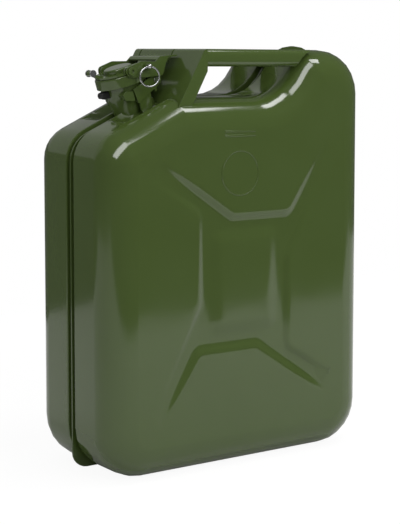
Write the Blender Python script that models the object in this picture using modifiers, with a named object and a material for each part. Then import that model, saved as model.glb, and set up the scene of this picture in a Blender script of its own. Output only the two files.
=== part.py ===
"""A 20 litre steel jerrycan: two pressed shells welded along a recessed rim, three handles on a
folded bracket, a leaning pouring neck and a hinged lid that a lever clamps down.
Metres, +Z up. X runs from the neck end (minus) to the hump end, Y across the can from the near
broad face (minus) to the far one, Z up from the floor. The origin lies under the middle."""

from math import atan2, cos, pi, radians, sin, sqrt, tan

import bmesh
import bpy
from mathutils import Matrix, Vector

MM = 0.001

# Can body
CAN_WIDTH = 350 * MM
CAN_DEPTH = 165 * MM
HUMP_HEIGHT = 461.5 * MM
HUMP_RISE = 51.5 * MM
TOP_HEIGHT = HUMP_HEIGHT - HUMP_RISE
SHOULDER_DROP = 44.5 * MM
SHOULDER_HEIGHT = TOP_HEIGHT - SHOULDER_DROP
SHOULDER_END_X = -78 * MM
HUMP_FOOT_X = 62.5 * MM
HUMP_SLOPE = radians(60)
SHEET = 1.0 * MM
HALF_GAP = 0.15 * MM
FACE_ROUND = 34 * MM
BASE_CORNER = 52 * MM
SHOULDER_CORNER = 38 * MM
TOP_BEND = 20 * MM
HUMP_HOLLOW = 65 * MM
HUMP_BEND = 30 * MM
HUMP_CORNER = 50 * MM

# Rim: a groove round the can with the weld flange standing in it
GROOVE_HALF = 7 * MM
GROOVE_DEPTH = 7 * MM
GROOVE_LIP = 2 * MM
FLANGE_INSET = 3.5 * MM
FLANGE_BASE_CORNER = 18 * MM
FLANGE_HUMP_CORNER = 45 * MM
FLANGE_HUMP_RISE = 4.5 * MM
FLANGE_HUMP_BEND = 47 * MM

# Dishes pressed in the shoulder at both sides of the neck
DISH_DEPTH = 10 * MM
DISH_CUTS_X = (-134 * MM, -125 * MM, -117 * MM, -109 * MM, -97 * MM, -89 * MM, -81 * MM, -71 * MM)
DISH_CUTS_Y = (10 * MM, 15 * MM, 20 * MM, 38 * MM, 44 * MM)

# Pressed face: a cross whose arm tips lie at a distance from the can's side and from its top
PRESS_DEPTH = 4.0 * MM
PRESS_WALL = 7.5 * MM
PRESS_ROUND = 9 * MM
PRESS_CENTRE_Z = TOP_HEIGHT / 2 + 2.5 * MM
PRESS_SIDE_X = 61 * MM
PRESS_NOTCH_X = 19 * MM
PRESS_SIDE_DROP = 122 * MM
PRESS_NOTCH_DROP = 132 * MM
LEFT_TIP = ((51 * MM, 76 * MM), (62 * MM, 67 * MM))
RIGHT_TIP = ((75 * MM, 56 * MM), (54 * MM, 80 * MM))
TIP_ROUND = 4 * MM
TIP_DEPTH_SHARE = 0.4
PANEL_HALF_X = 40 * MM
PANEL_HALF_Z = 53.5 * MM
PANEL_ROUND = 14 * MM
RING_CENTRE = (-7 * MM, TOP_HEIGHT - 82 * MM)
RING_RADIUS = 24.5 * MM
LINE_WIDTH = 2.4 * MM
LINE_RISE = 0.5 * MM
MARK_LENGTH = 42 * MM
MARK_CENTRE = (-7 * MM, TOP_HEIGHT - 39 * MM)
MARK_PITCH = 4.6 * MM

# Pouring neck: its axis leans forward from the shoulder
NECK_FOOT = (SHOULDER_END_X - 22 * MM, TOP_HEIGHT - 12.7 * MM)
NECK_LEAN = radians(17)
NECK_RADIUS = 16 * MM
NECK_TAPER_START = -8 * MM
NECK_TAPER_END = 14 * MM
NECK_UPPER_RADIUS = 22 * MM
MOUTH_RADIUS = 24.5 * MM
NECK_WALL = 1.6 * MM
NECK_INSIDE = 22 * MM
BREATHER_RADIUS = 3.5 * MM
BREATHER_WALL = 0.8 * MM

# Lid
LID_RADIUS = 28 * MM
LID_BASE = 29 * MM
LID_HEIGHT = 12 * MM
LID_WALL = 1.5 * MM
LID_EDGE = 2.2 * MM
DOME_RADIUS = 16.2 * MM
DOME_HEIGHT = 7 * MM
DOME_EDGE = 2.5 * MM
GASKET_INNER = 17 * MM
GASKET_THICK = 4 * MM

# Closure: hinge behind the neck, lever pivot over the lid
LUG_INNER = 14 * MM
LUG_OUTER = 25.5 * MM
LUG_EDGE = 1.2 * MM
CATCH_HALF = 5.5 * MM
HINGE_X = 28.6 * MM
HINGE_S = 24.7 * MM
HINGE_PIN_RADIUS = 2.2 * MM
EAR_INNER = 23.6 * MM
EAR_THICK = 2.4 * MM
POST_INNER = 22.4 * MM
POST_OUTER = 24.8 * MM
PIVOT_X = -1.5 * MM
PIVOT_RISE = 2.9 * MM
PIVOT_RADIUS = 1.9 * MM
BOSS_RADIUS = 6.8 * MM
RIVET_HEAD = 4.9 * MM
RIVET_HEAD_THICK = 2.2 * MM
YOKE_THICK = 2.2 * MM
YOKE_RADIUS = 27 * MM
YOKE_LUG_THICK = 2.6 * MM
TONGUE_HALF = 9 * MM
TONGUE_LAP = 7 * MM
BARREL_RADIUS = 3.9 * MM
EYE_AT = (-34 * MM, 51.2 * MM)
EYE_RADIUS = 3.4 * MM
EYE_HALF = 3.5 * MM
EYE_HEAD = 3.9 * MM
EYE_HEAD_THICK = 1.8 * MM
CHEEK_INNER = 28.6 * MM
CHEEK_THICK = 1.8 * MM
TAB_HALF = 26 * MM
SAFETY_AT = (18.7 * MM, 5.1 * MM)
SAFETY_RADIUS = 1.6 * MM
SLEEVE_LENGTH = 3.0 * MM
SLEEVE_WALL = 1.8 * MM
KNOB_RADIUS = 3.0 * MM
PULL_RING_RADIUS = 10.9 * MM
PULL_WIRE = 1.1 * MM
PULL_TURN = radians(13)

# Handles
HANDLE_PROUD = 1.6 * MM
HANDLE_TOP = HUMP_HEIGHT + HANDLE_PROUD
HANDLE_FALL = 1.3 * MM
HANDLE_END_SHARE = 0.4
HANDLE_HEIGHT = 19.2 * MM
HANDLE_WIDTH = 18 * MM
HANDLE_SPACING = 61 * MM
HANDLE_START_X = -42 * MM
HANDLE_ROUND = 6.5 * MM
BRACKET_HALF = 70.5 * MM
BRACKET_SHEET = 2.0 * MM
BRACKET_FOOT_X = -74.5 * MM
BRACKET_TOP_X = -43 * MM
BRACKET_FLANGE = 15 * MM
BRACKET_FLANGE_DROP = 24 * MM
BRACKET_NOSE = 3 * MM
BRACKET_ROUND = 4 * MM
BRACKET_SLOT = 2.4 * MM
BRACKET_SLOT_DEPTH = 16 * MM
BRACKET_SLOTS_Y = (-10.8 * MM, 56 * MM)

# Gaps between touching pieces, and room for turning ones
SEAT = 0.3 * MM
PLAY = 0.3 * MM

# Side views of small pieces, in mm: two coordinates, corner radius, steps in the corner.
# Lug, catch, hook, post and web are measured from the neck's foot, back along the lid and up.
LUG_SIDE = ((-14.9, 14.6, 1, 2), (-3.5, 10.8, 1, 2), (-3.5, 21.8, 1, 2), (-12.7, 24.4, 1, 2),
            (-16.9, 21.2, 1, 2))
CATCH_SIDE = ((-30.5, 20.3, 3, 3), (-19, 19, 1, 1), (-19, 27, 1, 1), (-30.5, 27, 3, 3))
HOOK_SIDE = ((-2.6, 24.1, 1, 2), (-0.6, 6.7, 1, 2), (9.7, 11.1, 40, 1), (27, 17.4, 8, 2),
             (35.6, 22.5, 6, 3), (34.2, 30.4, 4, 3), (23.5, 30.2, 10, 1), (8, 26.2, 60, 1))
POST_SIDE = ((2, -6.4, 5, 4), (15, -6.4, 5, 4), (18, 12, 1, 1), (16, 21, 1, 1), (1, 17, 1, 1))
WEB_SIDE = ((24.1, 13, 0.5, 1), (27.1, 13, 0.5, 1), (27.1, 19.3, 0.5, 1), (24.1, 19.3, 0.5, 1))
ARM_SIDE = ((-21, 41.9, 0.2, 1), (-21, 43.4, 0.2, 1), (-28, 47.4, 2, 1), (-32.5, 49.9, 0.2, 1),
            (-34, 48.4, 0.2, 1), (-29, 44.2, 2, 1))
# The lever's cheek, the room between the cheeks and the thumb tab are measured from its pivot.
CHEEK_SIDE = ((-6.8, -6.8, 6.8, 5), (12, -6.8, 50, 1), (40, -4.6, 3, 3), (44.5, 10, 8, 1),
              (48.5, 16.9, 1, 1), (36, 16, 3, 3), (30.5, 10.5, 2, 2), (11, 10.4, 10, 2),
              (-6.1, 3.7, 4, 3))
LEVER_ROOM = ((-30, -40, 1, 1), (80, -40, 1, 1), (80, 17.1, 1, 1), (36.9, 14, 0.6, 1),
              (33, 10.1, 0.3, 1), (33, 40, 1, 1), (-30, 40, 1, 1))
TAB_SIDE = ((43, 14.9, 0.5, 1), (61.2, 16.3, 0.5, 1), (61.2, 18, 0.5, 1), (43, 16.3, 0.5, 1))

LID_TOP = LID_BASE + LID_HEIGHT
NECK_HEIGHT = LID_TOP - LID_WALL - GASKET_THICK - 2 * SEAT

OLIVE = (0.058, 0.088, 0.024)
BRIGHT = (0.62, 0.62, 0.60)
BLACK = (0.012, 0.012, 0.012)


def clear_scene():
    for obj in list(bpy.data.objects):
        bpy.data.objects.remove(obj, do_unlink=True)


def collection(name, hidden=False):
    made = bpy.data.collections.new(name)
    bpy.context.scene.collection.children.link(made)
    made.hide_render = hidden
    return made


clear_scene()
PARTS = collection("jerrycan")
CUTTERS = collection("cutters", hidden=True)


def finish(name, colour, roughness, metallic):
    material = bpy.data.materials.new(name)
    material.use_nodes = True
    shader = material.node_tree.nodes["Principled BSDF"]
    shader.inputs["Base Color"].default_value = (*colour, 1.0)
    shader.inputs["Roughness"].default_value = roughness
    shader.inputs["Metallic"].default_value = metallic
    return material


def add_object(name, mesh, look, hidden=False):
    """Puts a mesh in the scene as a part, or as a cutter where it is hidden."""
    obj = bpy.data.objects.new(name, mesh)
    (CUTTERS if hidden else PARTS).objects.link(obj)
    if hidden:
        obj.hide_render = True
        obj.display_type = "WIRE"
        return obj
    colour, roughness, metallic = look
    mesh.materials.append(finish(name + "_finish", colour, roughness, metallic))
    return obj


PAINT = (OLIVE, 0.22, 0.0)
PLATED = (BRIGHT, 0.25, 1.0)
RUBBER = (BLACK, 0.6, 0.0)


def mesh_from(bm, name):
    bmesh.ops.recalc_face_normals(bm, faces=bm.faces)
    mesh = bpy.data.meshes.new(name)
    bm.to_mesh(mesh)
    bm.free()
    return mesh


def smooth(obj, degrees=35):
    obj.data.shade_smooth()
    obj.data.set_sharp_from_angle(angle=radians(degrees))


def evaluated_mesh(obj):
    graph = bpy.context.evaluated_depsgraph_get()
    return bpy.data.meshes.new_from_object(obj.evaluated_get(graph))


def boolean(obj, other, operation="DIFFERENCE"):
    modifier = obj.modifiers.new(operation.lower(), "BOOLEAN")
    modifier.operation = operation
    modifier.object = other
    modifier.solver = "EXACT"
    return modifier


# Rounded outlines
def offset_corners(corners, inset):
    """Corners of the outline (counter-clockwise) moved inwards by the inset."""
    moved = []
    count = len(corners)
    for i in range(count):
        a = Vector(corners[i - 1][:2])
        b = Vector(corners[i][:2])
        c = Vector(corners[(i + 1) % count][:2])
        first = (b - a).normalized()
        second = (c - b).normalized()
        n1 = Vector((-first.y, first.x))
        n2 = Vector((-second.y, second.x))
        bisector = n1 + n2
        scale = inset / (1 + n1.dot(n2))
        turn = first.x * second.y - first.y * second.x
        radius = corners[i][2] - inset if turn > 0 else corners[i][2] + inset
        point = b + bisector * scale
        moved.append((point.x, point.y, max(radius, 0.6 * MM), corners[i][3]))
    return moved


def outline_points(corners, inset=0.0):
    """Points along the outline with every corner drawn as an arc of its own number of steps."""
    corners = offset_corners(corners, inset)
    points = []
    count = len(corners)
    for i in range(count):
        a = Vector(corners[i - 1][:2])
        b = Vector(corners[i][:2])
        c = Vector(corners[(i + 1) % count][:2])
        radius, steps = corners[i][2], corners[i][3]
        back = (a - b).normalized()
        ahead = (c - b).normalized()
        half = back.angle(ahead) / 2
        reach = radius / tan(half)
        centre = b + (back + ahead).normalized() * (radius / sin(half))
        start = b + back * reach - centre
        end = b + ahead * reach - centre
        angle0 = atan2(start.y, start.x)
        sweep = atan2(start.x * end.y - start.y * end.x, start.dot(end))
        for k in range(steps + 1):
            angle = angle0 + sweep * k / steps
            points.append((centre.x + radius * cos(angle), centre.y + radius * sin(angle)))
    return points


HALF_X = CAN_WIDTH / 2
HUMP_TOP_X = HUMP_FOOT_X + (HUMP_HEIGHT - TOP_HEIGHT) / tan(HUMP_SLOPE)


def can_corners():
    """Side view of the can, counter-clockwise: x, z, corner radius, steps in the corner."""
    return [
        (-HALF_X, 0, BASE_CORNER, 6),
        (HALF_X, 0, BASE_CORNER, 6),
        (HALF_X, HUMP_HEIGHT, HUMP_CORNER, 6),
        (HUMP_TOP_X, HUMP_HEIGHT, HUMP_BEND, 4),
        (HUMP_FOOT_X, TOP_HEIGHT, HUMP_HOLLOW, 5),
        (SHOULDER_END_X, TOP_HEIGHT, TOP_BEND, 2),
        (-HALF_X, SHOULDER_HEIGHT, SHOULDER_CORNER, 5),
    ]


def flange_corners():
    """The weld flange: just inside the can's outline, with tighter corners and a higher hump."""
    corners = offset_corners(can_corners(), FLANGE_INSET)
    x = [corner[0] for corner in corners]
    z = [corner[1] for corner in corners]
    hump = HUMP_HEIGHT + FLANGE_HUMP_RISE
    slope_shift = (hump - z[3]) / tan(HUMP_SLOPE)
    return [
        (-HALF_X + SHEET, z[0], FLANGE_BASE_CORNER, 6),
        (HALF_X - SHEET, z[1], FLANGE_BASE_CORNER, 6),
        (HALF_X - SHEET, hump, FLANGE_HUMP_CORNER, 6),
        (x[3] + slope_shift, hump, FLANGE_HUMP_BEND, 4),
        (x[4], z[4], HUMP_HOLLOW + FLANGE_INSET, 5),
        (x[5], z[5], TOP_BEND - FLANGE_INSET, 2),
        (-HALF_X + SHEET, z[6], SHOULDER_CORNER - FLANGE_INSET, 5),
    ]


def rectangle(centre, half_x, half_z, radius, steps):
    cx, cz = centre
    return [
        (cx - half_x, cz - half_z, radius, steps),
        (cx + half_x, cz - half_z, radius, steps),
        (cx + half_x, cz + half_z, radius, steps),
        (cx - half_x, cz + half_z, radius, steps),
    ]


def ring_of(bm, points, y):
    return [bm.verts.new((x, y, z)) for x, z in points]


def bridge(bm, first, second):
    count = len(first)
    for i in range(count):
        j = (i + 1) % count
        bm.faces.new((first[i], first[j], second[j], second[i]))


def loop_edges(bm, ring):
    found = []
    for i, vert in enumerate(ring):
        other = ring[(i + 1) % len(ring)]
        found.append(bm.edges.get((vert, other)) or bm.edges.new((vert, other)))
    return found


def fill_between(bm, *rings):
    """Flat faces inside the first ring and outside the others."""
    edges = [edge for ring in rings for edge in loop_edges(bm, ring)]
    bmesh.ops.triangle_fill(bm, edges=edges, use_beauty=True)


def face_profile():
    """The shell's cross-section from the broad face to the groove floor: inset, distance from
    the middle plane."""
    steps = 6
    stations = []
    for k in range(steps + 1):
        angle = pi / 2 * k / steps
        inset = FACE_ROUND * (1 - sin(angle))
        across = CAN_DEPTH / 2 - FACE_ROUND * (1 - cos(angle))
        stations.append((inset, across))
    stations.append((0.0, GROOVE_HALF + GROOVE_LIP))
    lip = GROOVE_LIP * (1 - cos(pi / 4))
    stations.append((lip, GROOVE_HALF + lip))
    stations.append((GROOVE_LIP, GROOVE_HALF))
    stations.append((GROOVE_DEPTH - SHEET, GROOVE_HALF))
    stations.append((GROOVE_DEPTH, GROOVE_HALF - SHEET))
    return stations


def press_outline():
    """The pressed cross: a channel whose arms run from the middle panel towards the corners.
    The lower half is the upper one turned half round about the middle of the face."""
    side_z = TOP_HEIGHT - PRESS_SIDE_DROP
    notch_z = TOP_HEIGHT - PRESS_NOTCH_DROP
    left = [(tip[0] - HALF_X, TOP_HEIGHT - tip[1]) for tip in LEFT_TIP]
    right = [(HALF_X - tip[0], TOP_HEIGHT - tip[1]) for tip in RIGHT_TIP]
    upper = [(-PRESS_SIDE_X, side_z), *left, (-PRESS_NOTCH_X, notch_z), (PRESS_SIDE_X, notch_z), *right]
    lower = [(-x, 2 * PRESS_CENTRE_Z - z) for x, z in upper]
    ordered = list(reversed(upper + lower))
    return [(x, z, PRESS_ROUND if abs(x) <= PRESS_SIDE_X else TIP_ROUND, 3) for x, z in ordered]


def press_floor(points, face, side):
    """A ring of the cross's floor, which rises towards the tips of the arms."""
    root, tip = PRESS_SIDE_X, HALF_X - LEFT_TIP[0][0] - PRESS_WALL
    ring = []
    for x, z in points:
        share = min(max((abs(x) - root) / (tip - root), 0.0), 1.0)
        depth = PRESS_DEPTH * (1 - share * (1 - TIP_DEPTH_SHARE))
        ring.append((x, face - side * depth, z))
    return ring


def circle(centre, radius, steps):
    cx, cz = centre
    turns = [2 * pi * k / steps for k in range(steps)]
    return [(cx + radius * cos(t), cz + radius * sin(t)) for t in turns]


def add_raised_line(bm, outer, crest_out, crest_in, inner, face, side):
    """A raised line round a closed path. Returns the rings that the flat face meets."""
    rings = [
        ring_of(bm, outer, face),
        ring_of(bm, crest_out, face + side * LINE_RISE),
        ring_of(bm, crest_in, face + side * LINE_RISE),
        ring_of(bm, inner, face),
    ]
    for first, second in zip(rings, rings[1:]):
        bridge(bm, first, second)
    return rings[0], rings[3]


def add_raised_bar(bm, centre, face, side):
    half = LINE_WIDTH / 2
    foot = rectangle(centre, MARK_LENGTH / 2, half, half * 0.9, 2)
    outer = ring_of(bm, outline_points(foot), face)
    crest = ring_of(bm, outline_points(foot, half * 0.5), face + side * LINE_RISE)
    bridge(bm, outer, crest)
    fill_between(bm, crest)
    return outer


def dish(bm):
    """Presses the dishes: the flat of the shoulder is cut in strips, whose corners go down."""
    flat_end = CAN_DEPTH / 2 - FACE_ROUND

    def on_flat(face):
        reach = max(abs(v.co.y) for v in face.verts)
        return abs(reach - flat_end) < 0.1 * MM and face.calc_center_median().z > SHOULDER_HEIGHT

    cuts = [((x, 0, 0), (1, 0, 0)) for x in DISH_CUTS_X]
    cuts += [((0, side * y, 0), (0, 1, 0)) for y in DISH_CUTS_Y for side in (-1, 1)]
    strips = [f for f in bm.faces if on_flat(f)]
    for place, normal in cuts:
        geometry = list({e for f in strips for e in f.edges}) + list({v for f in strips for v in f.verts})
        cut = bmesh.ops.bisect_plane(bm, geom=strips + geometry, plane_co=place, plane_no=normal)
        strips = [item for item in cut["geom"] if isinstance(item, bmesh.types.BMFace)]
    for vert in {v for f in strips for v in f.verts}:
        vert.co.z -= DISH_DEPTH * dish_share(vert.co)
    bmesh.ops.triangulate(bm, faces=strips, quad_method="SHORT_EDGE")


def dish_share(place):
    """How deep the dish is here, from 0 at its edge to 1."""
    start, rise, level, fall, ramp, end = [DISH_CUTS_X[i] for i in (0, 1, 3, 4, 6, 7)]
    across = abs(place.y)
    along = [(start, 0.0), (rise, 0.4), (level, 1.0), (fall, 1.0), (ramp, 0.7), (end, 0.0)]
    side = [(DISH_CUTS_Y[0], 0.0), (DISH_CUTS_Y[1], 0.6), (DISH_CUTS_Y[2], 1.0), (DISH_CUTS_Y[3], 1.0),
            (DISH_CUTS_Y[4], 0.6), (CAN_DEPTH / 2 - FACE_ROUND, 0.0)]
    return between(along, place.x) * between(side, across)


def between(table, at):
    """Straight-line value at a place in a table of (place, value), 0 outside it."""
    for (x0, v0), (x1, v1) in zip(table, table[1:]):
        if x0 <= at <= x1:
            return v0 + (v1 - v0) * (at - x0) / (x1 - x0)
    return 0.0


def shell(name, side):
    """One pressed half. side is -1 for the near half and 1 for the far one."""
    bm = bmesh.new()
    corners = can_corners()
    rings = []
    for inset, across in face_profile():
        rings.append(ring_of(bm, outline_points(corners, inset), side * across))
    mating = side * (HALF_GAP + SHEET)
    rings.append(ring_of(bm, outline_points(corners, GROOVE_DEPTH), mating))
    rings.append(ring_of(bm, outline_points(flange_corners()), mating))
    for first, second in zip(rings, rings[1:]):
        bridge(bm, first, second)
    dish(bm)

    face = side * CAN_DEPTH / 2
    floor = side * (CAN_DEPTH / 2 - PRESS_DEPTH)
    cross = press_outline()
    edge = ring_of(bm, outline_points(cross), face)
    foot_points = press_floor(outline_points(cross, PRESS_WALL), face, side)
    foot = [bm.verts.new(point) for point in foot_points]
    bridge(bm, edge, foot)
    panel = rectangle((0, PRESS_CENTRE_Z), PANEL_HALF_X, PANEL_HALF_Z, PANEL_ROUND, 4)
    panel_foot = ring_of(bm, outline_points(panel), floor)
    panel_top = ring_of(bm, outline_points(panel, PRESS_WALL), face)
    bridge(bm, panel_foot, panel_top)
    fill_between(bm, foot, panel_foot)
    fill_between(bm, panel_top)
    half = LINE_WIDTH / 2
    radii = [RING_RADIUS + shift for shift in (half, half * 0.4, -half * 0.4, -half)]
    loops = [circle(RING_CENTRE, radius, 28) for radius in radii]
    outer, inner = add_raised_line(bm, *loops, face, side)
    fill_between(bm, inner)
    holes = [edge, outer]
    for k in (-0.5, 0.5):
        centre = (MARK_CENTRE[0], MARK_CENTRE[1] + k * MARK_PITCH)
        holes.append(add_raised_bar(bm, centre, face, side))
    fill_between(bm, rings[0], *holes)

    bmesh.ops.recalc_face_normals(bm, faces=bm.faces)
    middle = max(bm.faces, key=lambda f: side * f.calc_center_median().y)
    if middle.normal.y * side < 0:
        bmesh.ops.reverse_faces(bm, faces=bm.faces)
    mesh = bpy.data.meshes.new(name)
    bm.to_mesh(mesh)
    bm.free()
    obj = add_object(name, mesh, PAINT)
    wall = obj.modifiers.new("wall", "SOLIDIFY")
    wall.thickness = SHEET
    wall.offset = -1
    wall.use_even_offset = True
    return obj


def envelope(name, outset):
    """The can's outside without its groove, grown by the outset: it trims what seats on the can."""
    bm = bmesh.new()
    corners = can_corners()
    rings = []
    stations = []
    for inset, across in face_profile()[:7]:
        tilt = (FACE_ROUND - inset) / FACE_ROUND
        rise = sqrt(max(0.0, 1 - tilt * tilt))
        stations.append((inset - outset * tilt, across + outset * rise))
    for side in (-1, 1):
        ordered = stations if side < 0 else reversed(stations)
        for inset, across in ordered:
            rings.append(ring_of(bm, outline_points(corners, inset), side * across))
    for first, second in zip(rings, rings[1:]):
        bridge(bm, first, second)
    fill_between(bm, rings[0])
    fill_between(bm, rings[-1])
    dish(bm)
    return add_object(name, mesh_from(bm, name), None, hidden=True)


# Local frame of the neck: u runs back along the lid, s up along the neck's axis
ALONG = Vector((cos(NECK_LEAN), 0, sin(NECK_LEAN)))
UP = Vector((-sin(NECK_LEAN), 0, cos(NECK_LEAN)))
FOOT = Vector((NECK_FOOT[0], 0, NECK_FOOT[1]))


def at_neck(u, s, y=0.0):
    return FOOT + ALONG * u + UP * s + Vector((0, y, 0))


def neck_matrix(u=0.0, s=0.0):
    return Matrix.Translation(at_neck(u, s)) @ Matrix.Rotation(-NECK_LEAN, 4, "Y")


def turned(name, profile, look, matrix, steps=32, hidden=False):
    """A profile of (radius, height) pairs turned about its upright axis."""
    mesh = bpy.data.meshes.new(name)
    points = [(radius, 0, height) for radius, height in profile]
    closed = points[0][0] > 0 and points[-1][0] > 0
    count = len(points)
    edges = [(i, i + 1) for i in range(count - 1)]
    if closed:
        edges.append((count - 1, 0))
    mesh.from_pydata(points, edges, [])
    obj = add_object(name, mesh, look, hidden)
    screw = obj.modifiers.new("turn", "SCREW")
    screw.steps = steps
    screw.render_steps = steps
    screw.use_merge_vertices = True
    screw.merge_threshold = 0.00001
    bm = bmesh.new()
    bm.from_mesh(evaluated_mesh(obj))
    obj.modifiers.clear()
    bmesh.ops.remove_doubles(bm, verts=bm.verts, dist=0.00001)
    bmesh.ops.recalc_face_normals(bm, faces=bm.faces)
    bm.to_mesh(mesh)
    bm.free()
    obj.matrix_world = matrix
    if not hidden:
        smooth(obj)
    return obj


def plate(name, corners, low_y, high_y, look, hidden=False):
    """A flat outline in the X-Z plane, drawn thick from low_y to high_y."""
    bm = bmesh.new()
    points = outline_points(corners)
    near = ring_of(bm, points, low_y)
    far = ring_of(bm, points, high_y)
    bridge(bm, near, far)
    fill_between(bm, near)
    fill_between(bm, far)
    return add_object(name, mesh_from(bm, name), look, hidden)


def slab(name, corners, low, high, matrix):
    """A flat outline in its own X-Y plane, drawn thick from low to high: a cutter or a helper."""
    bm = bmesh.new()
    rings = []
    for height in (low, high):
        points = [matrix @ Vector((x, y, height)) for x, y in outline_points(corners)]
        rings.append([bm.verts.new(point) for point in points])
    bridge(bm, *rings)
    fill_between(bm, rings[0])
    fill_between(bm, rings[1])
    return add_object(name, mesh_from(bm, name), None, hidden=True)


def rod(name, centre, radius, low_y, high_y, look, steps=24, hidden=False):
    """A round bar along Y through centre (x, z)."""
    bm = bmesh.new()
    length = high_y - low_y
    place = Matrix.Translation((centre[0], (low_y + high_y) / 2, centre[1]))
    turn = Matrix.Rotation(pi / 2, 4, "X")
    bmesh.ops.create_cone(
        bm, cap_ends=True, segments=steps, radius1=radius, radius2=radius, depth=length,
        matrix=place @ turn,
    )
    obj = add_object(name, mesh_from(bm, name), look, hidden)
    if not hidden:
        smooth(obj)
    return obj


def block(name, low, high, look, hidden=False):
    bm = bmesh.new()
    size = Vector(high) - Vector(low)
    middle = (Vector(high) + Vector(low)) / 2
    place = Matrix.Translation(middle) @ Matrix.Diagonal((*size, 1))
    bmesh.ops.create_cube(bm, size=1, matrix=place)
    return add_object(name, mesh_from(bm, name), look, hidden)


def origin_at(obj, point):
    """Moves the object's origin, and leaves its shape where it is."""
    obj.data.transform(Matrix.Translation(-Vector(point)) @ obj.matrix_world)
    obj.matrix_world = Matrix.Translation(Vector(point))


def apply_modifiers(obj):
    mesh = evaluated_mesh(obj)
    obj.modifiers.clear()
    old = obj.data
    obj.data = mesh
    bpy.data.meshes.remove(old)


def joined(obj, *others):
    """Unions the others into the object. They become cutters."""
    for other in others:
        boolean(obj, other, "UNION")
    apply_modifiers(obj)
    smooth(obj)
    return obj


# Shells and what seats on them
CAN_SKIN = envelope("can_skin", SEAT)

def neck_outside(gap=0.0, foot=-NECK_INSIDE):
    """The neck's outside: narrow in the can, then a taper and a beaded mouth."""
    lip = NECK_WALL * 0.6
    return [
        (MOUTH_RADIUS - lip + gap, NECK_HEIGHT),
        (MOUTH_RADIUS + gap, NECK_HEIGHT - lip),
        (MOUTH_RADIUS + gap, NECK_HEIGHT - 2.5 * lip),
        (NECK_UPPER_RADIUS + gap, NECK_HEIGHT - 4 * lip),
        (NECK_UPPER_RADIUS + gap, NECK_TAPER_END),
        (NECK_RADIUS + gap, NECK_TAPER_START),
        (NECK_RADIUS + gap, foot),
    ]


neck_hole = turned(
    "neck_hole",
    [(0, NECK_HEIGHT), *neck_outside(SEAT, -2 * NECK_INSIDE), (0, -2 * NECK_INSIDE)],
    None, neck_matrix(), steps=48, hidden=True,
)


def make_shells():
    for name, side in (("near_shell", -1), ("far_shell", 1)):
        half = shell(name, side)
        boolean(half, neck_hole)
        apply_modifiers(half)
        smooth(half, 30)


def make_neck():
    outside = neck_outside()
    inner = [
        (NECK_RADIUS - NECK_WALL, -NECK_INSIDE),
        (NECK_RADIUS - NECK_WALL, NECK_TAPER_START),
        (NECK_UPPER_RADIUS - NECK_WALL, NECK_TAPER_END),
        (NECK_UPPER_RADIUS - NECK_WALL, NECK_HEIGHT),
    ]
    turned("pouring_neck", outside + inner, PAINT, neck_matrix(), steps=40)


def tube_along(name, route, radius, look, resolution=2):
    """A round wire through the points of a route."""
    curve = bpy.data.curves.new(name, "CURVE")
    curve.dimensions = "3D"
    curve.bevel_depth = radius
    curve.bevel_resolution = resolution
    curve.use_fill_caps = True
    spline = curve.splines.new("POLY")
    spline.points.add(len(route) - 1)
    for point, place in zip(spline.points, route):
        point.co = (*place, 1.0)
    made = bpy.data.objects.new(name + "_path", curve)
    bpy.context.scene.collection.objects.link(made)
    mesh = evaluated_mesh(made)
    bpy.data.objects.remove(made, do_unlink=True)
    bm = bmesh.new()
    bm.from_mesh(mesh)
    bmesh.ops.remove_doubles(bm, verts=bm.verts, dist=0.00001)
    bmesh.ops.recalc_face_normals(bm, faces=bm.faces)
    bm.to_mesh(mesh)
    bm.free()
    obj = add_object(name, mesh, look)
    smooth(obj)
    return obj


def bend_points(corner, before, after, radius, steps):
    """Points of an arc that rounds the corner between two straight runs."""
    corner, before, after = Vector(corner), Vector(before), Vector(after)
    back = (before - corner).normalized()
    ahead = (after - corner).normalized()
    half = back.angle(ahead) / 2
    centre = corner + (back + ahead).normalized() * (radius / sin(half))
    start = corner + back * (radius / tan(half)) - centre
    end = corner + ahead * (radius / tan(half)) - centre
    whole = start.angle(end)
    points = []
    for k in range(steps + 1):
        t = k / steps
        points.append(centre + (start * sin((1 - t) * whole) + end * sin(t * whole)) / sin(whole))
    return points


def make_breather():
    """The air pipe: it starts inside the neck and ends in the air pocket under the hump."""
    reach = NECK_RADIUS - NECK_WALL - SEAT - BREATHER_RADIUS
    top = at_neck(reach, NECK_TAPER_START)
    turn = at_neck(reach, -NECK_INSIDE - 12 * MM)
    rise = Vector((HUMP_FOOT_X + 12 * MM, 0, turn.z))
    end = Vector((HUMP_TOP_X + 22 * MM, 0, HUMP_HEIGHT - 24 * MM))
    route = [top]
    route += bend_points(turn, top, rise, 12 * MM, 5)
    route += bend_points(rise, turn, end, 25 * MM, 4)
    route.append(end)
    pipe = tube_along("breather_tube", route, BREATHER_RADIUS, PAINT)
    bore = tube_along("breather_bore", [route[0] + UP * MM, *route[1:-1], end + (end - rise) * 0.02],
                      BREATHER_RADIUS - BREATHER_WALL, PAINT)
    PARTS.objects.unlink(bore)
    CUTTERS.objects.link(bore)
    bore.hide_render = True
    bore.display_type = "WIRE"
    boolean(pipe, bore)
    apply_modifiers(pipe)
    smooth(pipe)


# Handles and their bracket
BRACKET_LEAN = atan2(HANDLE_TOP - TOP_HEIGHT, BRACKET_TOP_X - BRACKET_FOOT_X)


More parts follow.
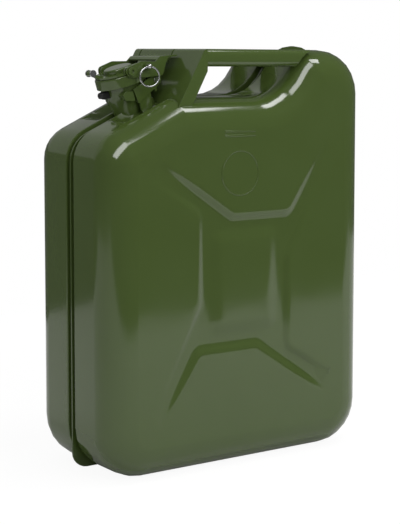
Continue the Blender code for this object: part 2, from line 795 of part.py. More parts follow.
def make_handles():
    can_side = plate("can_side", offset_corners(can_corners(), -SEAT),
                     -CAN_DEPTH, CAN_DEPTH, None, hidden=True)
    flange_side = plate("flange_side", offset_corners(flange_corners(), -SEAT),
                        -CAN_DEPTH, CAN_DEPTH, None, hidden=True)
    for name, place in (("handle_near", -1), ("handle_middle", 0), ("handle_far", 1)):
        y = place * HANDLE_SPACING
        half = HANDLE_WIDTH / 2
        end_x = HUMP_TOP_X + HUMP_BEND * HANDLE_END_SHARE
        bar = block(name, (HANDLE_START_X, y - half, HANDLE_TOP - HANDLE_HEIGHT),
                    (end_x, y + half, HANDLE_TOP), PAINT)
        for vert in bar.data.vertices:
            vert.co.z -= HANDLE_FALL if vert.co.x > 0 else 0.0
        edge = bar.modifiers.new("round", "BEVEL")
        edge.width = HANDLE_ROUND
        edge.segments = 4
        edge.limit_method = "WEIGHT"
        weights = bar.data.attributes.new("bevel_weight_edge", "FLOAT", "EDGE")
        for e in bar.data.edges:
            a, b = (bar.data.vertices[i].co for i in e.vertices)
            weights.data[e.index].value = 1.0 if abs(a.x - b.x) > half else 0.0
        boolean(bar, can_side)
        if place == 0:
            boolean(bar, flange_side)
        apply_modifiers(bar)
        smooth(bar)


def make_bracket():
    """A folded sheet across the can: a leaning front, a lip back to each bar, and two side flanges
    that meet the front in rounded folds."""
    lean = Vector((cos(BRACKET_LEAN), sin(BRACKET_LEAN)))
    inward = Vector((sin(BRACKET_LEAN), -cos(BRACKET_LEAN)))
    low = Vector((BRACKET_FOOT_X, TOP_HEIGHT)) - lean * 2 * DISH_DEPTH
    far_low = low + inward * BRACKET_FLANGE
    top = Vector((BRACKET_TOP_X - BRACKET_NOSE, HANDLE_TOP))
    rear_x = HANDLE_START_X - SEAT
    sheet = BRACKET_SHEET
    fine = 0.3 * MM
    side_view = [
        (*low, fine, 1), (*far_low, fine, 1),
        (rear_x, HANDLE_TOP - BRACKET_FLANGE_DROP, 2 * MM, 2),
        (rear_x, HANDLE_TOP, fine, 1), (*top, BRACKET_ROUND + MM, 3),
    ]
    bracket = plate("handle_bracket", side_view, -BRACKET_HALF, BRACKET_HALF, PAINT)
    weights = bracket.data.attributes.new("bevel_weight_edge", "FLOAT", "EDGE")
    for edge in bracket.data.edges:
        a, b = (bracket.data.vertices[i].co for i in edge.vertices)
        middle = (a + b) / 2
        from_front = (Vector((middle.x, middle.z)) - low).dot(inward)
        on_fold = from_front < BRACKET_NOSE or middle.z > HANDLE_TOP - fine
        on_end = a.y == b.y and middle.z > low.y + MM
        weights.data[edge.index].value = 1.0 if on_end and on_fold and middle.x < rear_x else 0.0
    fold = bracket.modifiers.new("fold", "BEVEL")
    fold.width = BRACKET_ROUND
    fold.segments = 4
    fold.limit_method = "WEIGHT"
    inner_low = low + inward * sheet - lean * BRACKET_FLANGE
    inner_top = top + Vector((sheet / 2, -sheet))
    room_view = [
        (*inner_low, fine, 1), (*(inner_low + inward * HALF_X), fine, 1),
        (rear_x + HALF_X, HANDLE_TOP - sheet, fine, 1), (*inner_top, BRACKET_ROUND / 2, 2),
    ]
    inner_half = BRACKET_HALF - sheet
    room = plate("bracket_room", room_view, -inner_half, inner_half, None, hidden=True)
    boolean(bracket, room)
    for i, y in enumerate(BRACKET_SLOTS_Y):
        slot = block(f"bracket_slot_{i}", (-HALF_X, y, HANDLE_TOP - BRACKET_SLOT_DEPTH),
                     (HALF_X, y + BRACKET_SLOT, HUMP_HEIGHT + BRACKET_SLOT_DEPTH), None, hidden=True)
        boolean(bracket, slot)
    boolean(bracket, CAN_SKIN)
    apply_modifiers(bracket)
    smooth(bracket)


# Fixed pieces round the neck
NECK_SKIN = turned("neck_skin", [(0, NECK_HEIGHT), *neck_outside(SEAT), (0, -NECK_INSIDE)],
                   None, neck_matrix(), steps=48, hidden=True)
HINGE = at_neck(HINGE_X, HINGE_S)
PIVOT = at_neck(PIVOT_X, LID_TOP + PIVOT_RISE)


def neck_corners(corners):
    """Corners given as u, s, radius, steps, turned into the X-Z plane."""
    placed = []
    for u, s, radius, steps in corners:
        point = at_neck(u, s)
        placed.append((point.x, point.z, radius, steps))
    return placed


def neck_side(table):
    return neck_corners([(u * MM, s * MM, radius * MM, steps) for u, s, radius, steps in table])


def pivot_side(table):
    return [(PIVOT.x + x * MM, PIVOT.z + z * MM, radius * MM, steps) for x, z, radius, steps in table]


def bored(obj, centre, radius, half_length, name):
    drill = rod(name, (centre[0], centre[-1]), radius, -half_length, half_length, None,
                steps=20, hidden=True)
    boolean(obj, drill)


def make_lugs():
    """The two side lugs that the closure grips, and the nose under the lid's front."""
    for name, side in (("neck_lug_near", -1), ("neck_lug_far", 1)):
        ys = sorted((side * LUG_INNER, side * LUG_OUTER))
        lug = plate(name, neck_side(LUG_SIDE), ys[0], ys[1], PAINT)
        soften(lug, LUG_EDGE)
        boolean(lug, NECK_SKIN)
        apply_modifiers(lug)
        smooth(lug)
    catch = plate("front_catch", neck_side(CATCH_SIDE), -CATCH_HALF, CATCH_HALF, RUBBER)
    soften(catch, LUG_EDGE)
    boolean(catch, NECK_SKIN)
    apply_modifiers(catch)
    smooth(catch)


def soften(obj, width):
    """Rounds the sharp edges of a small solid."""
    edge = obj.modifiers.new("edge", "BEVEL")
    edge.width = width
    edge.segments = 2
    edge.angle_limit = radians(60)


def make_hinge_bracket():
    """Two hooked ears beside the neck, each on a post that stands in the dish, joined by a web
    behind the neck."""
    outer = EAR_INNER + EAR_THICK
    pieces = []
    for side in (-1, 1):
        ys = sorted((side * EAR_INNER, side * outer))
        pieces.append(plate(f"ear_{side}", neck_side(HOOK_SIDE), ys[0], ys[1], None, hidden=True))
        ys = sorted((side * POST_INNER, side * POST_OUTER))
        pieces.append(plate(f"post_{side}", neck_side(POST_SIDE), ys[0], ys[1], None, hidden=True))
    reach = EAR_INNER + EAR_THICK / 2
    bracket = plate("hinge_bracket", neck_side(WEB_SIDE), -reach, reach, PAINT)
    joined(bracket, *pieces)
    boolean(bracket, NECK_SKIN)
    boolean(bracket, CAN_SKIN)
    bored(bracket, HINGE, HINGE_PIN_RADIUS + PLAY, 2 * outer, "hinge_bore")
    apply_modifiers(bracket)
    smooth(bracket)


def pin_with_heads(name, centre, radius, low_y, high_y, head, head_thick, look):
    """A turned pin along Y with a head at each end."""
    shaft = rod(name, centre, radius, low_y, high_y, look)
    first = rod(name + "_head_a", centre, head, low_y, low_y + head_thick, None, hidden=True)
    second = rod(name + "_head_b", centre, head, high_y - head_thick, high_y, None, hidden=True)
    joined(shaft, first, second)
    return shaft


def make_hinge_pin():
    half = EAR_INNER + EAR_THICK + SEAT + 1.2 * MM
    pin = pin_with_heads("hinge_pin", (HINGE.x, HINGE.z), HINGE_PIN_RADIUS, -half, half,
                         HINGE_PIN_RADIUS + 1.4 * MM, 1.2 * MM, PLATED)
    return pin


# Lid
def make_lid():
    top = LID_TOP
    cap = [
        (0, top),
        (LID_RADIUS - LID_EDGE, top),
        (LID_RADIUS - LID_EDGE * 0.3, top - LID_EDGE * 0.3),
        (LID_RADIUS, top - LID_EDGE),
        (LID_RADIUS, LID_BASE),
        (LID_RADIUS - LID_WALL, LID_BASE),
        (LID_RADIUS - LID_WALL, top - LID_WALL),
        (0, top - LID_WALL),
    ]
    turned("lid_cap", cap, PAINT, neck_matrix(), steps=40)
    dome = [
        (0, DOME_HEIGHT),
        (DOME_RADIUS - DOME_EDGE, DOME_HEIGHT),
        (DOME_RADIUS - DOME_EDGE * 0.3, DOME_HEIGHT - DOME_EDGE * 0.3),
        (DOME_RADIUS, DOME_HEIGHT - DOME_EDGE),
        (DOME_RADIUS, 0),
        (0, 0),
    ]
    turned("lid_dome", dome, PAINT, neck_matrix(0, top + SEAT))
    high = top - LID_WALL - SEAT
    outer = LID_RADIUS - LID_WALL - SEAT
    gasket = [
        (outer, high),
        (outer, high - GASKET_THICK),
        (GASKET_INNER, high - GASKET_THICK),
        (GASKET_INNER, high),
    ]
    turned("gasket", gasket, RUBBER, neck_matrix(), steps=36)


def flat_ring(name, low_s, high_s):
    """The yoke's flat strap round the dome."""
    bm = bmesh.new()
    outer = circle((0, 0), YOKE_RADIUS, 36)
    inner = circle((0, 0), DOME_RADIUS + PLAY + 0.5 * MM, 28)
    rings = []
    for s in (low_s, high_s):
        for path in (outer, inner):
            rings.append([bm.verts.new(at_neck(u, s, y)) for u, y in path])
    bridge(bm, rings[0], rings[2])
    bridge(bm, rings[1], rings[3])
    fill_between(bm, rings[0], rings[1])
    fill_between(bm, rings[2], rings[3])
    return add_object(name, mesh_from(bm, name), PAINT)


def make_yoke():
    """The strap on the lid: a ring round the dome, pivot lugs, a rolled eye in front and the
    hinge tongue behind."""
    low = LID_TOP + SEAT
    high = low + YOKE_THICK
    yoke = flat_ring("clamp_yoke", low, high)
    lug = [
        (PIVOT_X - BOSS_RADIUS, low + 0.3 * MM, 0.5 * MM, 1),
        (PIVOT_X + BOSS_RADIUS, low + 0.3 * MM, 0.5 * MM, 1),
        (PIVOT_X + BOSS_RADIUS * 0.8, LID_TOP + PIVOT_RISE + BOSS_RADIUS * 0.7, 4 * MM, 4),
        (PIVOT_X - BOSS_RADIUS * 0.8, LID_TOP + PIVOT_RISE + BOSS_RADIUS * 0.7, 4 * MM, 4),
    ]
    pieces = []
    lug_outer = CHEEK_INNER - PLAY - 2.2 * MM
    for side in (-1, 1):
        ys = sorted((side * lug_outer, side * (lug_outer - YOKE_LUG_THICK)))
        pieces.append(plate(f"yoke_lug_{side}", neck_corners(lug), ys[0], ys[1], None, hidden=True))
    front = LID_RADIUS + 1.5 * SEAT
    rear = HINGE_X + BARREL_RADIUS - 2 * SEAT
    on_ring = YOKE_RADIUS - TONGUE_LAP
    tongue = [
        (front, HINGE_S, 0.3 * MM, 1),
        (rear, HINGE_S, 0.3 * MM, 1),
        (rear, high, 4 * MM, 4),
        (on_ring, high, 0.3 * MM, 1),
        (on_ring, low, 0.3 * MM, 1),
        (front, low, 1 * MM, 2),
    ]
    pieces.append(plate("yoke_tongue", neck_corners(tongue), -TONGUE_HALF, TONGUE_HALF,
                        None, hidden=True))
    barrel_half = EAR_INNER - PLAY
    pieces.append(rod("yoke_barrel", (HINGE.x, HINGE.z), BARREL_RADIUS, -barrel_half, barrel_half,
                      None, hidden=True))
    eye = at_neck(*EYE_AT)
    pieces.append(rod("yoke_eye", (eye.x, eye.z), EYE_RADIUS, -EYE_HALF, EYE_HALF,
                      None, hidden=True))
    arm_half = EYE_HALF - SEAT
    pieces.append(plate("yoke_arm", neck_side(ARM_SIDE), -arm_half, arm_half, None, hidden=True))
    joined(yoke, *pieces)
    bored(yoke, HINGE, HINGE_PIN_RADIUS + PLAY, 2 * barrel_half, "yoke_hinge_bore")
    bored(yoke, eye, EYE_RADIUS * 0.5, 2 * EYE_HALF, "yoke_eye_bore")
    inner_y = lug_outer - YOKE_LUG_THICK - 0.5 * MM
    for side in (-1, 1):
        ys = sorted((side * (inner_y - SEAT), side * CHEEK_INNER))
        drill = rod(f"yoke_pivot_bore_{side}", (PIVOT.x, PIVOT.z), PIVOT_RADIUS + SEAT, ys[0], ys[1],
                    None, hidden=True)
        boolean(yoke, drill)
    apply_modifiers(yoke)
    smooth(yoke)
    half = EYE_HALF + SEAT + EYE_HEAD_THICK
    pin_with_heads("eye_rivet", (eye.x, eye.z), EYE_RADIUS * 0.5 - SEAT, -half, half,
                   EYE_HEAD, EYE_HEAD_THICK, PLATED)
    outer_y = CHEEK_INNER + CHEEK_THICK + SEAT + RIVET_HEAD_THICK
    for name, side in (("lever_rivet_near", -1), ("lever_rivet_far", 1)):
        make_rivet(name, side, inner_y, outer_y)


def make_rivet(name, side, inner_y, outer_y):
    """One pivot of the lever: a shaft through lug and cheek, with a hollow head outside."""
    centre = (PIVOT.x, PIVOT.z)
    ys = sorted((side * inner_y, side * outer_y))
    rivet = rod(name, centre, PIVOT_RADIUS, ys[0], ys[1], PAINT)
    head_ys = sorted((side * outer_y, side * (outer_y - RIVET_HEAD_THICK)))
    head = rod(name + "_head", centre, RIVET_HEAD, head_ys[0], head_ys[1], None, hidden=True)
    joined(rivet, head)
    reach = RIVET_HEAD_THICK * 0.7
    socket = rod(name + "_socket", centre, PIVOT_RADIUS, side * outer_y - reach,
                 side * outer_y + reach, None, steps=12, hidden=True)
    boolean(rivet, socket)
    apply_modifiers(rivet)
    smooth(rivet)
    origin_at(rivet, PIVOT)


# Lever, its safety pin and the pull ring
SAFETY = PIVOT + Vector((SAFETY_AT[0], 0, SAFETY_AT[1]))


def make_lever():
    """Two cheeks beside the lid, joined by a raised bridge with a thumb tab."""
    outer_y = CHEEK_INNER + CHEEK_THICK
    lever = plate("locking_lever", pivot_side(CHEEK_SIDE), -outer_y, outer_y, PAINT)
    room = plate("lever_room", pivot_side(LEVER_ROOM), -CHEEK_INNER, CHEEK_INNER, None, hidden=True)
    boolean(lever, room)
    apply_modifiers(lever)
    thumb = plate("lever_tab", pivot_side(TAB_SIDE), -TAB_HALF, TAB_HALF, None, hidden=True)
    sleeve = rod("pin_sleeve", (SAFETY.x, SAFETY.z), SAFETY_RADIUS + SLEEVE_WALL,
                 -outer_y - SLEEVE_LENGTH, -outer_y + MM, None, hidden=True)
    joined(lever, thumb, sleeve)
    bored(lever, PIVOT, PIVOT_RADIUS + PLAY, 2 * outer_y, "lever_bore")
    drill = rod("sleeve_bore", (SAFETY.x, SAFETY.z), SAFETY_RADIUS + PLAY,
                -2 * outer_y, 0, None, hidden=True)
    boolean(lever, drill)
    apply_modifiers(lever)
    smooth(lever)
    origin_at(lever, PIVOT)


def make_safety_pin():
    """The pin with a bored knob, and the pull ring that hangs in the knob, turned to the front."""
    outer_y = CHEEK_INNER + CHEEK_THICK + SLEEVE_LENGTH
    knob_y = -outer_y - KNOB_RADIUS - 2 * SEAT
    centre = Vector((SAFETY.x, knob_y, SAFETY.z))
    pin = rod("safety_pin", (SAFETY.x, SAFETY.z), SAFETY_RADIUS, knob_y, -CHEEK_INNER + 4 * MM, PLATED)
    turn = Matrix.Rotation(-PULL_TURN, 4, "Z")
    bm = bmesh.new()
    place = Matrix.Translation(centre)
    bmesh.ops.create_uvsphere(bm, u_segments=20, v_segments=12, radius=KNOB_RADIUS, matrix=place)
    ball = add_object("pin_knob", mesh_from(bm, "pin_knob"), None, hidden=True)
    joined(pin, ball)
    bm = bmesh.new()
    bore = PULL_WIRE + 2 * PLAY
    place = Matrix.Translation(centre) @ turn @ Matrix.Rotation(pi / 2, 4, "Y")
    bmesh.ops.create_cone(bm, cap_ends=True, segments=16, radius1=bore, radius2=bore,
                          depth=4 * KNOB_RADIUS, matrix=place)
    hole = add_object("knob_hole", mesh_from(bm, "knob_hole"), None, hidden=True)
    boolean(pin, hole)
    apply_modifiers(pin)
    smooth(pin)
    origin_at(pin, centre)
    steps = 8
    section = [
        (PULL_RING_RADIUS + PULL_WIRE * cos(t), PULL_WIRE * sin(t))
        for t in [pi / 2 - 2 * pi * k / steps for k in range(steps)]
    ]
    middle = Matrix.Translation(centre - Vector((0, 0, PULL_RING_RADIUS)))
    upright = Matrix.Rotation(pi / 2, 4, "X")
    ring = turned("pull_ring", section, PLATED, middle @ turn @ upright, steps=36)
    origin_at(ring, centre)
    print("safety pin axis", tuple(round(v, 5) for v in centre))


make_shells()
make_neck()
make_breather()
make_handles()
make_bracket()
make_lugs()
make_hinge_bracket()
make_hinge_pin()
make_lid()
make_yoke()
make_lever()
make_safety_pin()
print("hinge axis", tuple(round(v, 5) for v in HINGE))
print("lever pivot", tuple(round(v, 5) for v in PIVOT))
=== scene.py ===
# %% [markdown]
# # A 20 litre steel jerrycan in a soft white studio
# The can is a pair of pressed steel shells, welded together along a recessed rim and dipped in
# glossy olive enamel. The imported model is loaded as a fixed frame: every piece made here is
# placed on it and rides on one of its bodies, so the lid, lever, pin and ring still move.

# %% Load the frame
from math import radians, tan

import bmesh
import bpy
import numpy as np
from mathutils import Matrix, Vector


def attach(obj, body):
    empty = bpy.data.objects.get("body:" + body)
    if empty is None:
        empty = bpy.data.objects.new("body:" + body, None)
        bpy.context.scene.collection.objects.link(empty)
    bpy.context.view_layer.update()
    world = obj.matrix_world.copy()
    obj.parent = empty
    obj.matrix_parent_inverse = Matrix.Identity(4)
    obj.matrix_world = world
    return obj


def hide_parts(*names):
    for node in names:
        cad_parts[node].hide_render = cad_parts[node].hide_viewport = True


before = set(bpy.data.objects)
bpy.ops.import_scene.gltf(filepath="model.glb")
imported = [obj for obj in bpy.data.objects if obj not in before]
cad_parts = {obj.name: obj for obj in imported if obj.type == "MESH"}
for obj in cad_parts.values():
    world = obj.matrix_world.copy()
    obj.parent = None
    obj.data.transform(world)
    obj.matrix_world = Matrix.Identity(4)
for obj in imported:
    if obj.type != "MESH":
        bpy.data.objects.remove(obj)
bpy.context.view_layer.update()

MM = 0.001

# %% [markdown]
# ## Camera
# The photograph looks at the corner of the can from slightly above, through a long lens. A long
# lens keeps the sides of the can nearly parallel. A small part of the downward look comes from
# a shifted lens, which keeps upright edges upright.

# %% Place the camera
PHOTO_HEIGHT = 524
FOCAL_IN_PIXELS = 1474.9
SENSOR = 36.0
LENS_SHIFT = -0.15
CAMERA_PLACE = (-0.9537, -1.3877, 0.4655)
LOOK_DOWN = 5.30
CAMERA_TURN = -0.6000

camera_data = bpy.data.cameras.new("studio_camera")
camera_data.sensor_width = SENSOR
camera_data.lens = FOCAL_IN_PIXELS / PHOTO_HEIGHT * SENSOR
camera_data.shift_y = LENS_SHIFT
camera = bpy.data.objects.new("studio_camera", camera_data)
bpy.context.scene.collection.objects.link(camera)
camera.location = CAMERA_PLACE
camera.rotation_euler = (radians(90 - LOOK_DOWN), 0, CAMERA_TURN)
bpy.context.scene.camera = camera
bpy.context.scene.view_settings.view_transform = "Standard"
print("lens, mm:", round(camera_data.lens, 1))

# %% [markdown]
# ## Colours and nodes
# Paint charts and photographs give colours as sRGB hex values, but light adds up in linear
# values, so one function turns the first into the second. A second function adds a shader node,
# with its settings and its links, in one call, and a third starts a material.

# %% Three small helpers
def linear(hex_colour):
    """An sRGB hex colour such as "425227" as linear red, green, blue and alpha."""
    channels = []
    for i in (0, 2, 4):
        value = int(hex_colour[i:i + 2], 16) / 255
        channels.append(value / 12.92 if value <= 0.04045 else ((value + 0.055) / 1.055) ** 2.4)
    return (*channels, 1.0)


def add_node(material, kind, settings=None, links=None):
    """Adds a node. settings holds the values of properties and inputs, links the outputs to join."""
    node = material.node_tree.nodes.new(kind)
    for key, value in (settings or {}).items():
        if isinstance(key, str) and hasattr(node, key):
            setattr(node, key, value)
        else:
            node.inputs[key].default_value = value
    for key, output in (links or {}).items():
        material.node_tree.links.new(output, node.inputs[key])
    return node


def new_material(name, **shader_values):
    """A material with its Principled shader, whose even values go straight on its sockets."""
    material = bpy.data.materials.new(name)
    material.use_nodes = True
    shader = material.node_tree.nodes["Principled BSDF"]
    for key, value in shader_values.items():
        shader.inputs[key.replace("_", " ")].default_value = value
    return material, shader


print("olive in linear light:", [round(v, 3) for v in linear("425227")[:3]])

# %% [markdown]
# ## Glossy olive enamel
# Real cans are phosphated and dipped or sprayed, then stoved. That gives a hard gloss with a
# faint orange peel about 2.5 mm across, over sheet that is never quite flat: waves about 60 mm
# long from pressing bend every reflection. The peel and the waves are two bump layers. The slow
# noise of the waves also shifts the green and the gloss a little, as thick and thin paint does.

# %% Make the enamel
PEEL_MM = 2.5
PEEL_HEIGHT_MM = 0.2
WAVE_MM = 60.0
WAVE_HEIGHT_MM = 2.0
GLOSS_SPREAD = 0.04


def make_enamel(name, colour, deep, roughness, peel, wave):
    """Olive enamel, deeper where it is thin. peel and wave are the strengths of its two bumps."""
    material, shader = new_material(name, IOR=1.5, Coat_Weight=0.35, Coat_Roughness=0.08)
    place = add_node(material, "ShaderNodeTexCoord")
    slow = add_node(material, "ShaderNodeTexNoise", {"Scale": 1000 / WAVE_MM, "Detail": 2.0},
                    {"Vector": place.outputs["Object"]})
    fine = add_node(material, "ShaderNodeTexNoise", {"Scale": 1000 / PEEL_MM, "Detail": 1.0},
                    {"Vector": place.outputs["Object"]})
    tint = add_node(material, "ShaderNodeMix",
                    {"data_type": "RGBA", 6: linear(deep), 7: linear(colour)},
                    {"Factor": slow.outputs["Fac"]})
    gloss = add_node(material, "ShaderNodeMapRange",
                     {"To Min": roughness - GLOSS_SPREAD, "To Max": roughness + GLOSS_SPREAD},
                     {"Value": slow.outputs["Fac"]})
    waves = add_node(material, "ShaderNodeBump",
                     {"Strength": wave, "Distance": WAVE_HEIGHT_MM * MM},
                     {"Height": slow.outputs["Fac"]})
    peeled = add_node(material, "ShaderNodeBump",
                      {"Strength": peel, "Distance": PEEL_HEIGHT_MM * MM},
                      {"Height": fine.outputs["Fac"], "Normal": waves.outputs["Normal"]})
    links = material.node_tree.links
    links.new(tint.outputs[2], shader.inputs["Base Color"])
    links.new(gloss.outputs["Result"], shader.inputs["Roughness"])
    links.new(peeled.outputs["Normal"], shader.inputs["Normal"])
    return material


enamel = make_enamel("stoved_olive_enamel", colour="425227", deep="3e4e22",
                     roughness=0.11, peel=0.15, wave=0.12)
fitting_enamel = make_enamel("sprayed_olive_enamel", colour="435428", deep="3e4e22",
                             roughness=0.13, peel=0.25, wave=0.1)
print("made", enamel.name, "and", fitting_enamel.name)

# %% [markdown]
# ## Bright zinc plate
# The pins, the rivet in the front eye and the pull ring are steel bar and wire, barrel plated
# with zinc. It is a metal with a bluish white, blurred shine, and the barrel leaves it faintly
# mottled, in patches about 3 mm across.

# %% Make the plating
MOTTLE_MM = 3.0
MOTTLE_HEIGHT_MM = 0.1


def make_plating():
    """Zinc plate, whose mottle changes its colour, its gloss and its level."""
    material, shader = new_material("bright_zinc_plate", Metallic=1.0)
    place = add_node(material, "ShaderNodeTexCoord")
    mottle = add_node(material, "ShaderNodeTexNoise", {"Scale": 1000 / MOTTLE_MM, "Detail": 3.0},
                      {"Vector": place.outputs["Object"]})
    tint = add_node(material, "ShaderNodeMix",
                    {"data_type": "RGBA", 6: linear("b4b6b8"), 7: linear("e2e3e2")},
                    {"Factor": mottle.outputs["Fac"]})
    gloss = add_node(material, "ShaderNodeMapRange", {"To Min": 0.14, "To Max": 0.34},
                     {"Value": mottle.outputs["Fac"]})
    uneven = add_node(material, "ShaderNodeBump",
                      {"Strength": 0.2, "Distance": MOTTLE_HEIGHT_MM * MM},
                      {"Height": mottle.outputs["Fac"]})
    links = material.node_tree.links
    links.new(tint.outputs[2], shader.inputs["Base Color"])
    links.new(gloss.outputs["Result"], shader.inputs["Roughness"])
    links.new(uneven.outputs["Normal"], shader.inputs["Normal"])
    return material


zinc = make_plating()
print("made", zinc.name)

# %% [markdown]
# ## Moulded black rubber, also painted shade on the front catch
# The seal is nitrile rubber, pressed in a mould. It is nearly black, with a dull, even surface.
# Its real grain is too fine to show, so it is drawn 0.8 mm wide. The front catch gets the same
# near black as painted shade, for the deep shade under the front of the lid.

# %% Make the rubber, also used as painted shade
GRAIN_MM = 0.8
GRAIN_HEIGHT_MM = 0.1


def make_rubber_and_painted_shade():
    """Nearly black rubber with a dull grain, also used as painted shade on the front catch."""
    material, shader = new_material("nitrile_rubber_and_painted_shade", IOR=1.52)
    place = add_node(material, "ShaderNodeTexCoord")
    grain = add_node(material, "ShaderNodeTexNoise", {"Scale": 1000 / GRAIN_MM, "Detail": 2.0},
                     {"Vector": place.outputs["Object"]})
    tint = add_node(material, "ShaderNodeMix",
                    {"data_type": "RGBA", 6: linear("141414"), 7: linear("242424")},
                    {"Factor": grain.outputs["Fac"]})
    gloss = add_node(material, "ShaderNodeMapRange", {"To Min": 0.45, "To Max": 0.6},
                     {"Value": grain.outputs["Fac"]})
    bump = add_node(material, "ShaderNodeBump",
                    {"Strength": 0.3, "Distance": GRAIN_HEIGHT_MM * MM},
                    {"Height": grain.outputs["Fac"]})
    links = material.node_tree.links
    links.new(tint.outputs[2], shader.inputs["Base Color"])
    links.new(gloss.outputs["Result"], shader.inputs["Roughness"])
    links.new(bump.outputs["Normal"], shader.inputs["Normal"])
    return material


rubber_and_painted_shade = make_rubber_and_painted_shade()
print("made", rubber_and_painted_shade.name)

# %% [markdown]
# ## Dressing a piece of the frame
# The frame's solids are loose triangles with sharp edges. Pressed sheet and bar have none: each
# bend and each cut edge is rounded and shows a thin highlight. So each piece is a merged copy,
# its flat triangles are dissolved into whole faces, and its edges are bevelled and shaded smooth.

# %% Copy, merge and round
MERGE_MM = 0.01
FLAT_ANGLE = 0.5
SMOOTH_ANGLE = 35


def only(obj):
    """Selects one object and makes it the active one."""
    bpy.ops.object.select_all(action="DESELECT")
    obj.select_set(True)
    bpy.context.view_layer.objects.active = obj


def dressed(node_name, new_name, material, body, edge_mm, segments=2, angle=SMOOTH_ANGLE,
            reshape=None):
    """A smooth copy of a node with rounded edges, riding on the node's body in its place."""
    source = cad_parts[node_name]
    piece = bpy.data.objects.new(new_name, source.data.copy())
    bpy.context.scene.collection.objects.link(piece)
    only(piece)
    bpy.ops.object.mode_set(mode="EDIT")
    bpy.ops.mesh.select_all(action="SELECT")
    bpy.ops.mesh.remove_doubles(threshold=MERGE_MM * MM)
    bpy.ops.mesh.dissolve_limited(angle_limit=radians(FLAT_ANGLE))
    bpy.ops.mesh.select_all(action="DESELECT")
    bpy.ops.object.mode_set(mode="OBJECT")
    if reshape:
        reshape(piece.data)
    if edge_mm > 0:
        bevel = piece.modifiers.new("rounded_edges", "BEVEL")
        bevel.width = edge_mm * MM
        bevel.segments = segments
        bevel.limit_method = "ANGLE"
        bevel.angle_limit = radians(angle)
        bevel.use_clamp_overlap = True
        bpy.ops.object.modifier_apply(modifier=bevel.name)
    bpy.ops.object.shade_smooth_by_angle(angle=radians(max(angle, SMOOTH_ANGLE)))
    flats = piece.modifiers.new("flats_stay_flat", "WEIGHTED_NORMAL")
    flats.keep_sharp = True
    flats.weight = 100
    bpy.ops.object.modifier_apply(modifier=flats.name)
    piece.data.materials.clear()
    piece.data.materials.append(material)
    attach(piece, body)
    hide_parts(node_name)
    return piece


# %% [markdown]
# ## The pressed cross
# Each shell is deep drawn from one sheet, and a cross is pressed 3.2 mm into its broad face to
# stiffen it. Sheet can't follow a sharp line, so the walls of the cross run out softly. Loose
# triangles can't show that. So the face is cut out and laid again as a fine grid, whose depth
# comes from the distance to the outline of the cross.

# %% Outline of the cross, in mm: across, up, corner radius
FACE_MIDDLE = 207.5
NO_LENGTH = 1e-12
HALF_CROSS = [(-61, 286, 12), (-129, 324, 8), (-112, 347, 6), (-16, 281.5, 11), (61, 281.5, 11),
              (110, 359, 6), (121, 349, 6), (106, 311, 40), (61, 229, 14)]
CROSS = HALF_CROSS + [(-x, 2 * FACE_MIDDLE - z, radius) for x, z, radius in HALF_CROSS]
PANEL = [(-46, 266, 16), (46, 266, 16), (46, 149, 16), (-46, 149, 16)]


def rounded(corners, steps=6):
    """A closed outline as points, with an arc at each corner."""
    points = []
    for i, (x, z, radius) in enumerate(corners):
        here = Vector((x, z))
        back = (Vector(corners[i - 1][:2]) - here).normalized()
        ahead = (Vector(corners[(i + 1) % len(corners)][:2]) - here).normalized()
        reach = radius / tan(back.angle(ahead) / 2)
        start, end = here + back * reach, here + ahead * reach
        for k in range(steps + 1):
            t = k / steps
            points.append(start * (1 - t) ** 2 + here * 2 * t * (1 - t) + end * t ** 2)
    return np.array([tuple(p) for p in points])


def depth_inside(points, starts, ends=None):
    """Distance of each point from closed outlines, positive inside. A side that is given no end
    runs to the next start."""
    nearest = np.full(len(points), np.inf)
    inside = np.zeros(len(points), dtype=bool)
    for a, b in zip(starts, np.roll(starts, -1, axis=0) if ends is None else ends):
        along = b - a
        share = ((points - a) @ along / max(along @ along, NO_LENGTH)).clip(0, 1)
        nearest = np.minimum(nearest, np.linalg.norm(points - a - share[:, None] * along, axis=1))
        crosses = (a[1] > points[:, 1]) != (b[1] > points[:, 1])
        rise = along[1] if along[1] else NO_LENGTH
        inside ^= crosses & (points[:, 0] < a[0] + (points[:, 1] - a[1]) * along[0] / rise)
    return np.where(inside, nearest, -nearest)


print("cross of", len(rounded(CROSS)), "points, panel of", len(rounded(PANEL)))

# %% [markdown]
# The wall of the cross is a straight ramp with soft ends, and it widens along the arms. The
# channel is deepest round the middle panel and runs out to nothing just past the four tips.

# %% Depth of the press, in mm
PRESS_DEPTH = 3.2
PRESS_WALL = 5.0
PANEL_WALL = 13.0
WALL_SOFTNESS = 0.22
TIP_WIDENING = 0.5
ARM_ROOT = 61
ARM_END = 131


def ramp(share):
    """Close to 0 before 0 and to 1 after 1, with soft ends."""
    soft = WALL_SOFTNESS
    return 0.5 * (1 + np.sqrt(share ** 2 + soft ** 2) - np.sqrt((1 - share) ** 2 + soft ** 2))


def press_depth(points):
    """How deep the face is pressed at each point, in mm."""
    along_arm = ((np.abs(points[:, 0]) - ARM_ROOT) / (ARM_END - ARM_ROOT)).clip(0, 1)
    full = PRESS_DEPTH * (1 - along_arm)
    wall = PRESS_WALL * (1 + TIP_WIDENING * along_arm)
    channel = ramp(depth_inside(points, rounded(CROSS)) / wall)
    panel = ramp(depth_inside(points, rounded(PANEL)) / PANEL_WALL)
    return full * channel * (1 - panel)


print("depth beside the panel, mm:", press_depth(np.array([[-50.0, FACE_MIDDLE]])).round(2))

# %% [markdown]
# The sheet has an outer and an inner surface, 1 mm apart, and both get the grid. First the flat
# faces are cut out, and from them on every pressed face that joins them. The raised ring and the
# two bars stay as they are in the frame, and the grid stops just before them. At the tip of the
# upper left arm the frame's inner surface has a small spike, which is cut out too.

